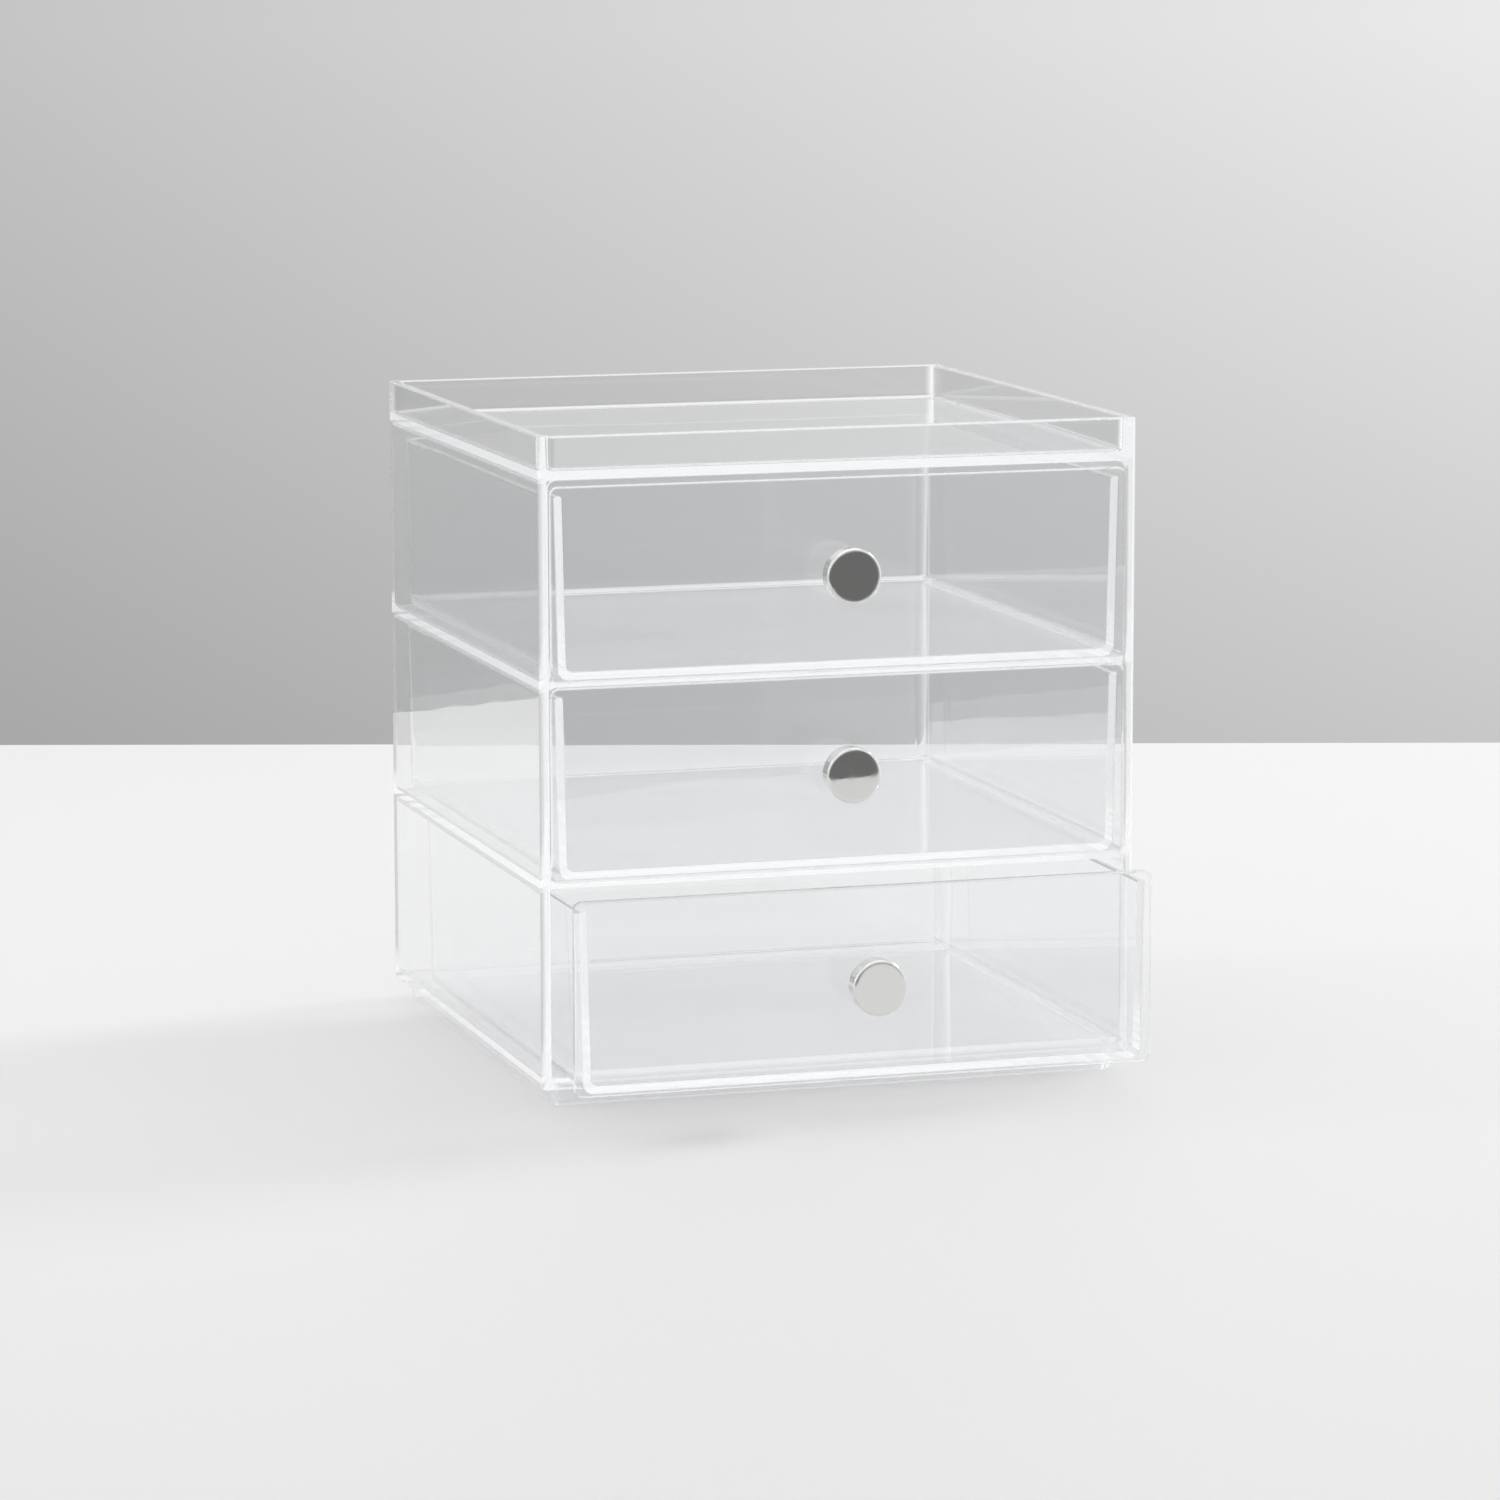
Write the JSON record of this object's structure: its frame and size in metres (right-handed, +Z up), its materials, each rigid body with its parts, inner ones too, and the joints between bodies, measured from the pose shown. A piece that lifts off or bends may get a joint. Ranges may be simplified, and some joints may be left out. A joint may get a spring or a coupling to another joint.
{
  "type": "drawer organizer",
  "caption": "Clear acrylic countertop organizer with sliding drawers, round chrome knobs, an open tray on top and a stacking foot.",
  "frame": {"origin": "centre of the face that the foot stands on", "axes": "+X to the right seen from the front, +Y from the front to the back, +Z up; the drawers pull out along -Y"},
  "size_m": [0.178, 0.2108, 0.1915],
  "materials": {
    "clear_acrylic": "clear, polished, injection moulded",
    "polished_chrome": "mirror polished plating",
    "screw_steel": "bright zinc plated"
  },
  "bodies": {
    "case": {"case": "clear_acrylic"},
    "top_drawer": {"top_drawer": "clear_acrylic", "top_knob": "polished_chrome", "top_knob_screw": "screw_steel"},
    "middle_drawer": {"middle_drawer": "clear_acrylic", "middle_knob": "polished_chrome", "middle_knob_screw": "screw_steel"},
    "bottom_drawer": {"bottom_drawer": "clear_acrylic", "bottom_knob": "polished_chrome", "bottom_knob_screw": "screw_steel"}
  },
  "joints": [
    {"name": "top_drawer_slide", "type": "slide", "parent": "case", "child": "top_drawer", "axis": [0, -1, 0], "range_m": [0, 0.11]},
    {"name": "middle_drawer_slide", "type": "slide", "parent": "case", "child": "middle_drawer", "axis": [0, -1, 0], "range_m": [0, 0.11]},
    {"name": "bottom_drawer_slide", "type": "slide", "parent": "case", "child": "bottom_drawer", "axis": [0, -1, 0], "range_m": [-0.0238, 0.0862]}
  ]
}
